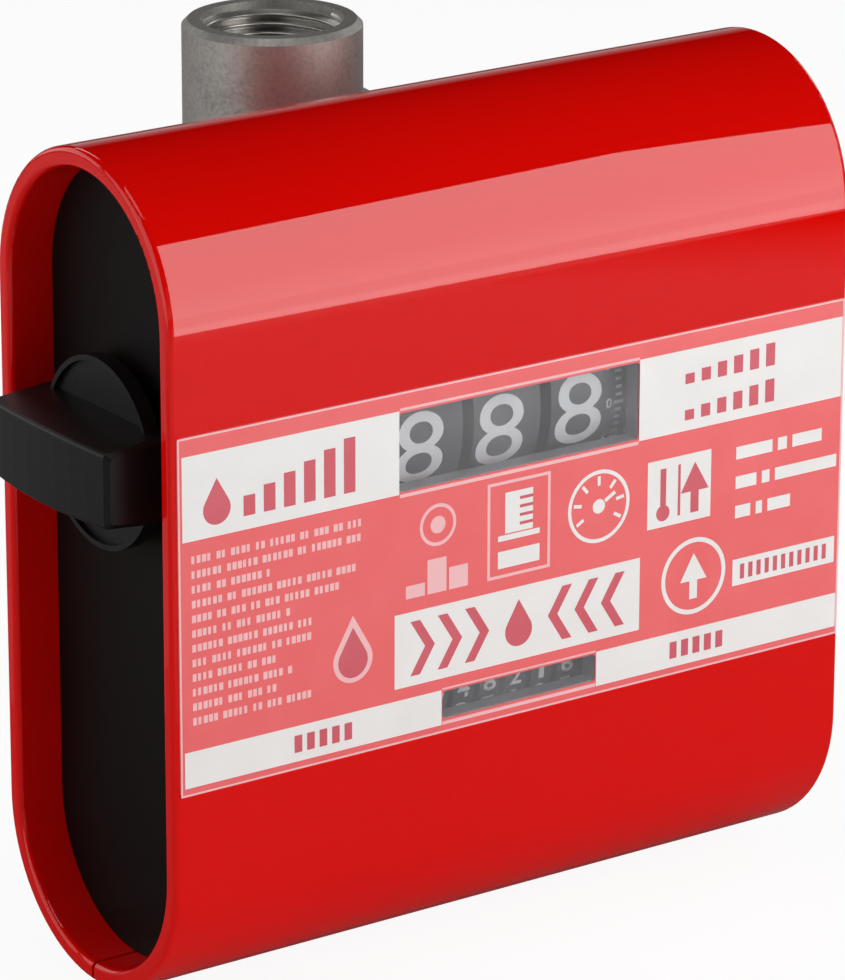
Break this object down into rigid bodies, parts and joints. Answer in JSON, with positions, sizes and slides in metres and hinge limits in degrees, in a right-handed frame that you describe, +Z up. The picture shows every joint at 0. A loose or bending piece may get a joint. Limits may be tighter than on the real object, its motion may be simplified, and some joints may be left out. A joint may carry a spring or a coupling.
{
  "type": "mechanical diesel flow meter",
  "caption": "Mechanical fuel flow meter: nutating disc body with two threaded ports behind a tubular steel counter case with reset knob.",
  "frame": {"origin": "centre of the inlet port face at the lower end of the meter body", "axes": "+Z runs up the pipe axis to the outlet port, -Y is the counter's front and +X is to the right seen from the front"},
  "size_m": [0.1948, 0.1262, 0.198],
  "materials": {
    "red_case": "stoved red enamel",
    "black_panel": "black painted steel sheet",
    "printed_film": "printed polyester overlay",
    "clear_film": "clear polyester",
    "zinc_steel": "zinc plated",
    "turned_steel": "turned",
    "cast_aluminium": "die cast",
    "chamber_plastic": "glass filled, moulded",
    "black_rubber": "moulded",
    "bronze": "sintered bronze",
    "black_screw": "black oxide",
    "stainless_mesh": "stainless sheet",
    "nylon": "natural nylon",
    "black_knob": "moulded, fine grain",
    "wheel_plastic": "moulded black",
    "gear_plastic": "natural acetal",
    "brass_gear": "cut brass"
  },
  "bodies": {
    "case": {"shell": "red_case", "end_panel_left": "black_panel", "end_panel_right": "black_panel", "label": "printed_film", "counter_window": "clear_film", "totaliser_window": "clear_film", "counter_frame": "zinc_steel", "tie_rods": "zinc_steel", "transfer_shaft": "turned_steel", "totaliser_shaft": "turned_steel", "totaliser_transfer_shaft": "turned_steel", "gear_pins": "turned_steel", "meter_body": "cast_aluminium", "rear_cover": "cast_aluminium", "cover_screws": "zinc_steel", "cover_seal": "black_rubber", "chamber_front": "chamber_plastic", "chamber_rear": "chamber_plastic", "partition_plate": "stainless_mesh", "outlet_sleeve": "chamber_plastic", "gearbox_plate": "cast_aluminium", "gearbox_screws": "zinc_steel", "gearbox_seal": "black_rubber", "spindle_seal": "black_rubber", "spindle_bush": "bronze", "mounting_screws": "black_screw", "strainer": "stainless_mesh", "calibration_screw": "turned_steel", "calibration_plug": "zinc_steel", "knob_bush": "nylon"},
    "crank": {"crank": "gear_plastic"},
    "disc": {"nutating_disc": "chamber_plastic"},
    "lay_gear": {"lay_gear": "gear_plastic"},
    "spindle": {"spindle": "turned_steel", "output_gear": "gear_plastic", "spindle_bevel": "brass_gear"},
    "cross_shaft": {"cross_shaft": "turned_steel", "cross_bevel": "brass_gear"},
    "idler": {"idler_gear": "gear_plastic"},
    "units_wheel": {"units_wheel": "wheel_plastic"},
    "tens_wheel": {"tens_wheel": "wheel_plastic"},
    "hundreds_wheel": {"hundreds_wheel": "wheel_plastic"},
    "transfer_pinion_1": {"transfer_pinion_1": "gear_plastic"},
    "transfer_pinion_2": {"transfer_pinion_2": "gear_plastic"},
    "cluster": {"cluster_gear": "gear_plastic"},
    "total_wheel_1": {"total_wheel_1": "wheel_plastic"},
    "total_wheel_2": {"total_wheel_2": "wheel_plastic"},
    "total_wheel_3": {"total_wheel_3": "wheel_plastic"},
    "total_wheel_4": {"total_wheel_4": "wheel_plastic"},
    "total_wheel_5": {"total_wheel_5": "wheel_plastic"},
    "total_wheel_6": {"total_wheel_6": "wheel_plastic"},
    "total_pinion_1": {"total_pinion_1": "gear_plastic"},
    "total_pinion_2": {"total_pinion_2": "gear_plastic"},
    "total_pinion_3": {"total_pinion_3": "gear_plastic"},
    "total_pinion_4": {"total_pinion_4": "gear_plastic"},
    "total_pinion_5": {"total_pinion_5": "gear_plastic"},
    "reset_knob": {"knob": "black_knob", "reset_shaft": "turned_steel", "shaft_clip": "black_screw"}
  },
  "joints": [
    {"name": "crank_spin", "type": "hinge", "parent": "case", "child": "crank", "pos_m": [0, -0.029, 0.099], "axis": [0, -1, 0], "continuous": true},
    {"name": "disc_nutation", "type": "hinge", "parent": "crank", "child": "disc", "pos_m": [0, -0.00202, 0.099], "axis": [0.23, -0.9732, 0], "continuous": true},
    {"name": "lay_gear_spin", "type": "hinge", "parent": "case", "child": "lay_gear", "pos_m": [0.01668, -0.029, 0.0895], "axis": [0, -1, 0], "continuous": true},
    {"name": "spindle_spin", "type": "hinge", "parent": "case", "child": "spindle", "pos_m": [0, -0.029, 0.08], "axis": [0, -1, 0], "continuous": true},
    {"name": "cross_shaft_spin", "type": "hinge", "parent": "case", "child": "cross_shaft", "pos_m": [0, -0.058, 0.08], "axis": [1, 0, 0], "continuous": true},
    {"name": "idler_spin", "type": "hinge", "parent": "case", "child": "idler", "pos_m": [0, -0.0548, 0.09234], "axis": [1, 0, 0], "continuous": true},
    {"name": "units_wheel_spin", "type": "hinge", "parent": "case", "child": "units_wheel", "pos_m": [0, -0.0635, 0.1265], "axis": [1, 0, 0], "continuous": true},
    {"name": "tens_wheel_spin", "type": "hinge", "parent": "case", "child": "tens_wheel", "pos_m": [0, -0.0635, 0.1265], "axis": [1, 0, 0], "continuous": true},
    {"name": "hundreds_wheel_spin", "type": "hinge", "parent": "case", "child": "hundreds_wheel", "pos_m": [0, -0.0635, 0.1265], "axis": [1, 0, 0], "continuous": true},
    {"name": "transfer_pinion_1_spin", "type": "hinge", "parent": "case", "child": "transfer_pinion_1", "pos_m": [0, -0.04789, 0.15353], "axis": [1, 0, 0], "continuous": true},
    {"name": "transfer_pinion_2_spin", "type": "hinge", "parent": "case", "child": "transfer_pinion_2", "pos_m": [0, -0.04789, 0.15353], "axis": [1, 0, 0], "continuous": true},
    {"name": "cluster_spin", "type": "hinge", "parent": "case", "child": "cluster", "pos_m": [0, -0.07594, 0.07858], "axis": [1, 0, 0], "continuous": true},
    {"name": "total_wheel_1_spin", "type": "hinge", "parent": "case", "child": "total_wheel_1", "pos_m": [0, -0.083, 0.0645], "axis": [1, 0, 0], "continuous": true},
    {"name": "total_wheel_2_spin", "type": "hinge", "parent": "case", "child": "total_wheel_2", "pos_m": [0, -0.083, 0.0645], "axis": [1, 0, 0], "continuous": true},
    {"name": "total_wheel_3_spin", "type": "hinge", "parent": "case", "child": "total_wheel_3", "pos_m": [0, -0.083, 0.0645], "axis": [1, 0, 0], "continuous": true},
    {"name": "total_wheel_4_spin", "type": "hinge", "parent": "case", "child": "total_wheel_4", "pos_m": [0, -0.083, 0.0645], "axis": [1, 0, 0], "continuous": true},
    {"name": "total_wheel_5_spin", "type": "hinge", "parent": "case", "child": "total_wheel_5", "pos_m": [0, -0.083, 0.0645], "axis": [1, 0, 0], "continuous": true},
    {"name": "total_wheel_6_spin", "type": "hinge", "parent": "case", "child": "total_wheel_6", "pos_m": [0, -0.083, 0.0645], "axis": [1, 0, 0], "continuous": true},
    {"name": "total_pinion_1_spin", "type": "hinge", "parent": "case", "child": "total_pinion_1", "pos_m": [0, -0.07395, 0.05545], "axis": [1, 0, 0], "continuous": true},
    {"name": "total_pinion_2_spin", "type": "hinge", "parent": "case", "child": "total_pinion_2", "pos_m": [0, -0.07395, 0.05545], "axis": [1, 0, 0], "continuous": true},
    {"name": "total_pinion_3_spin", "type": "hinge", "parent": "case", "child": "total_pinion_3", "pos_m": [0, -0.07395, 0.05545], "axis": [1, 0, 0], "continuous": true},
    {"name": "total_pinion_4_spin", "type": "hinge", "parent": "case", "child": "total_pinion_4", "pos_m": [0, -0.07395, 0.05545], "axis": [1, 0, 0], "continuous": true},
    {"name": "total_pinion_5_spin", "type": "hinge", "parent": "case", "child": "total_pinion_5", "pos_m": [0, -0.07395, 0.05545], "axis": [1, 0, 0], "continuous": true},
    {"name": "reset_knob_spin", "type": "hinge", "parent": "case", "child": "reset_knob", "pos_m": [0, -0.0635, 0.1265], "axis": [1, 0, 0], "continuous": true}
  ],
  "couplings": [
    {"joint": "disc_nutation", "follows": "crank_spin", "ratio": -1},
    {"joint": "lay_gear_spin", "follows": "crank_spin", "ratio": -0.33333},
    {"joint": "spindle_spin", "follows": "crank_spin", "ratio": 0.11111},
    {"joint": "cross_shaft_spin", "follows": "crank_spin", "ratio": 0.074074},
    {"joint": "idler_spin", "follows": "crank_spin", "ratio": -0.040404},
    {"joint": "units_wheel_spin", "follows": "crank_spin", "ratio": 0.012346},
    {"joint": "tens_wheel_spin", "follows": "crank_spin", "ratio": 0.0012346},
    {"joint": "hundreds_wheel_spin", "follows": "crank_spin", "ratio": 0.00012346},
    {"joint": "transfer_pinion_1_spin", "follows": "crank_spin", "ratio": -0.0061728},
    {"joint": "transfer_pinion_2_spin", "follows": "crank_spin", "ratio": -0.00061728},
    {"joint": "cluster_spin", "follows": "crank_spin", "ratio": -0.024691},
    {"joint": "total_wheel_1_spin", "follows": "crank_spin", "ratio": 0.012346},
    {"joint": "total_wheel_2_spin", "follows": "crank_spin", "ratio": 0.0012346},
    {"joint": "total_wheel_3_spin", "follows": "crank_spin", "ratio": 0.00012346},
    {"joint": "total_wheel_4_spin", "follows": "crank_spin", "ratio": 0.000012346},
    {"joint": "total_wheel_5_spin", "follows": "crank_spin", "ratio": 0.0000012346},
    {"joint": "total_wheel_6_spin", "follows": "crank_spin", "ratio": 0.00000012346},
    {"joint": "total_pinion_1_spin", "follows": "crank_spin", "ratio": -0.0020576},
    {"joint": "total_pinion_2_spin", "follows": "crank_spin", "ratio": -0.00020576},
    {"joint": "total_pinion_3_spin", "follows": "crank_spin", "ratio": -0.000020576},
    {"joint": "total_pinion_4_spin", "follows": "crank_spin", "ratio": -0.0000020576},
    {"joint": "total_pinion_5_spin", "follows": "crank_spin", "ratio": -0.00000020576}
  ]
}
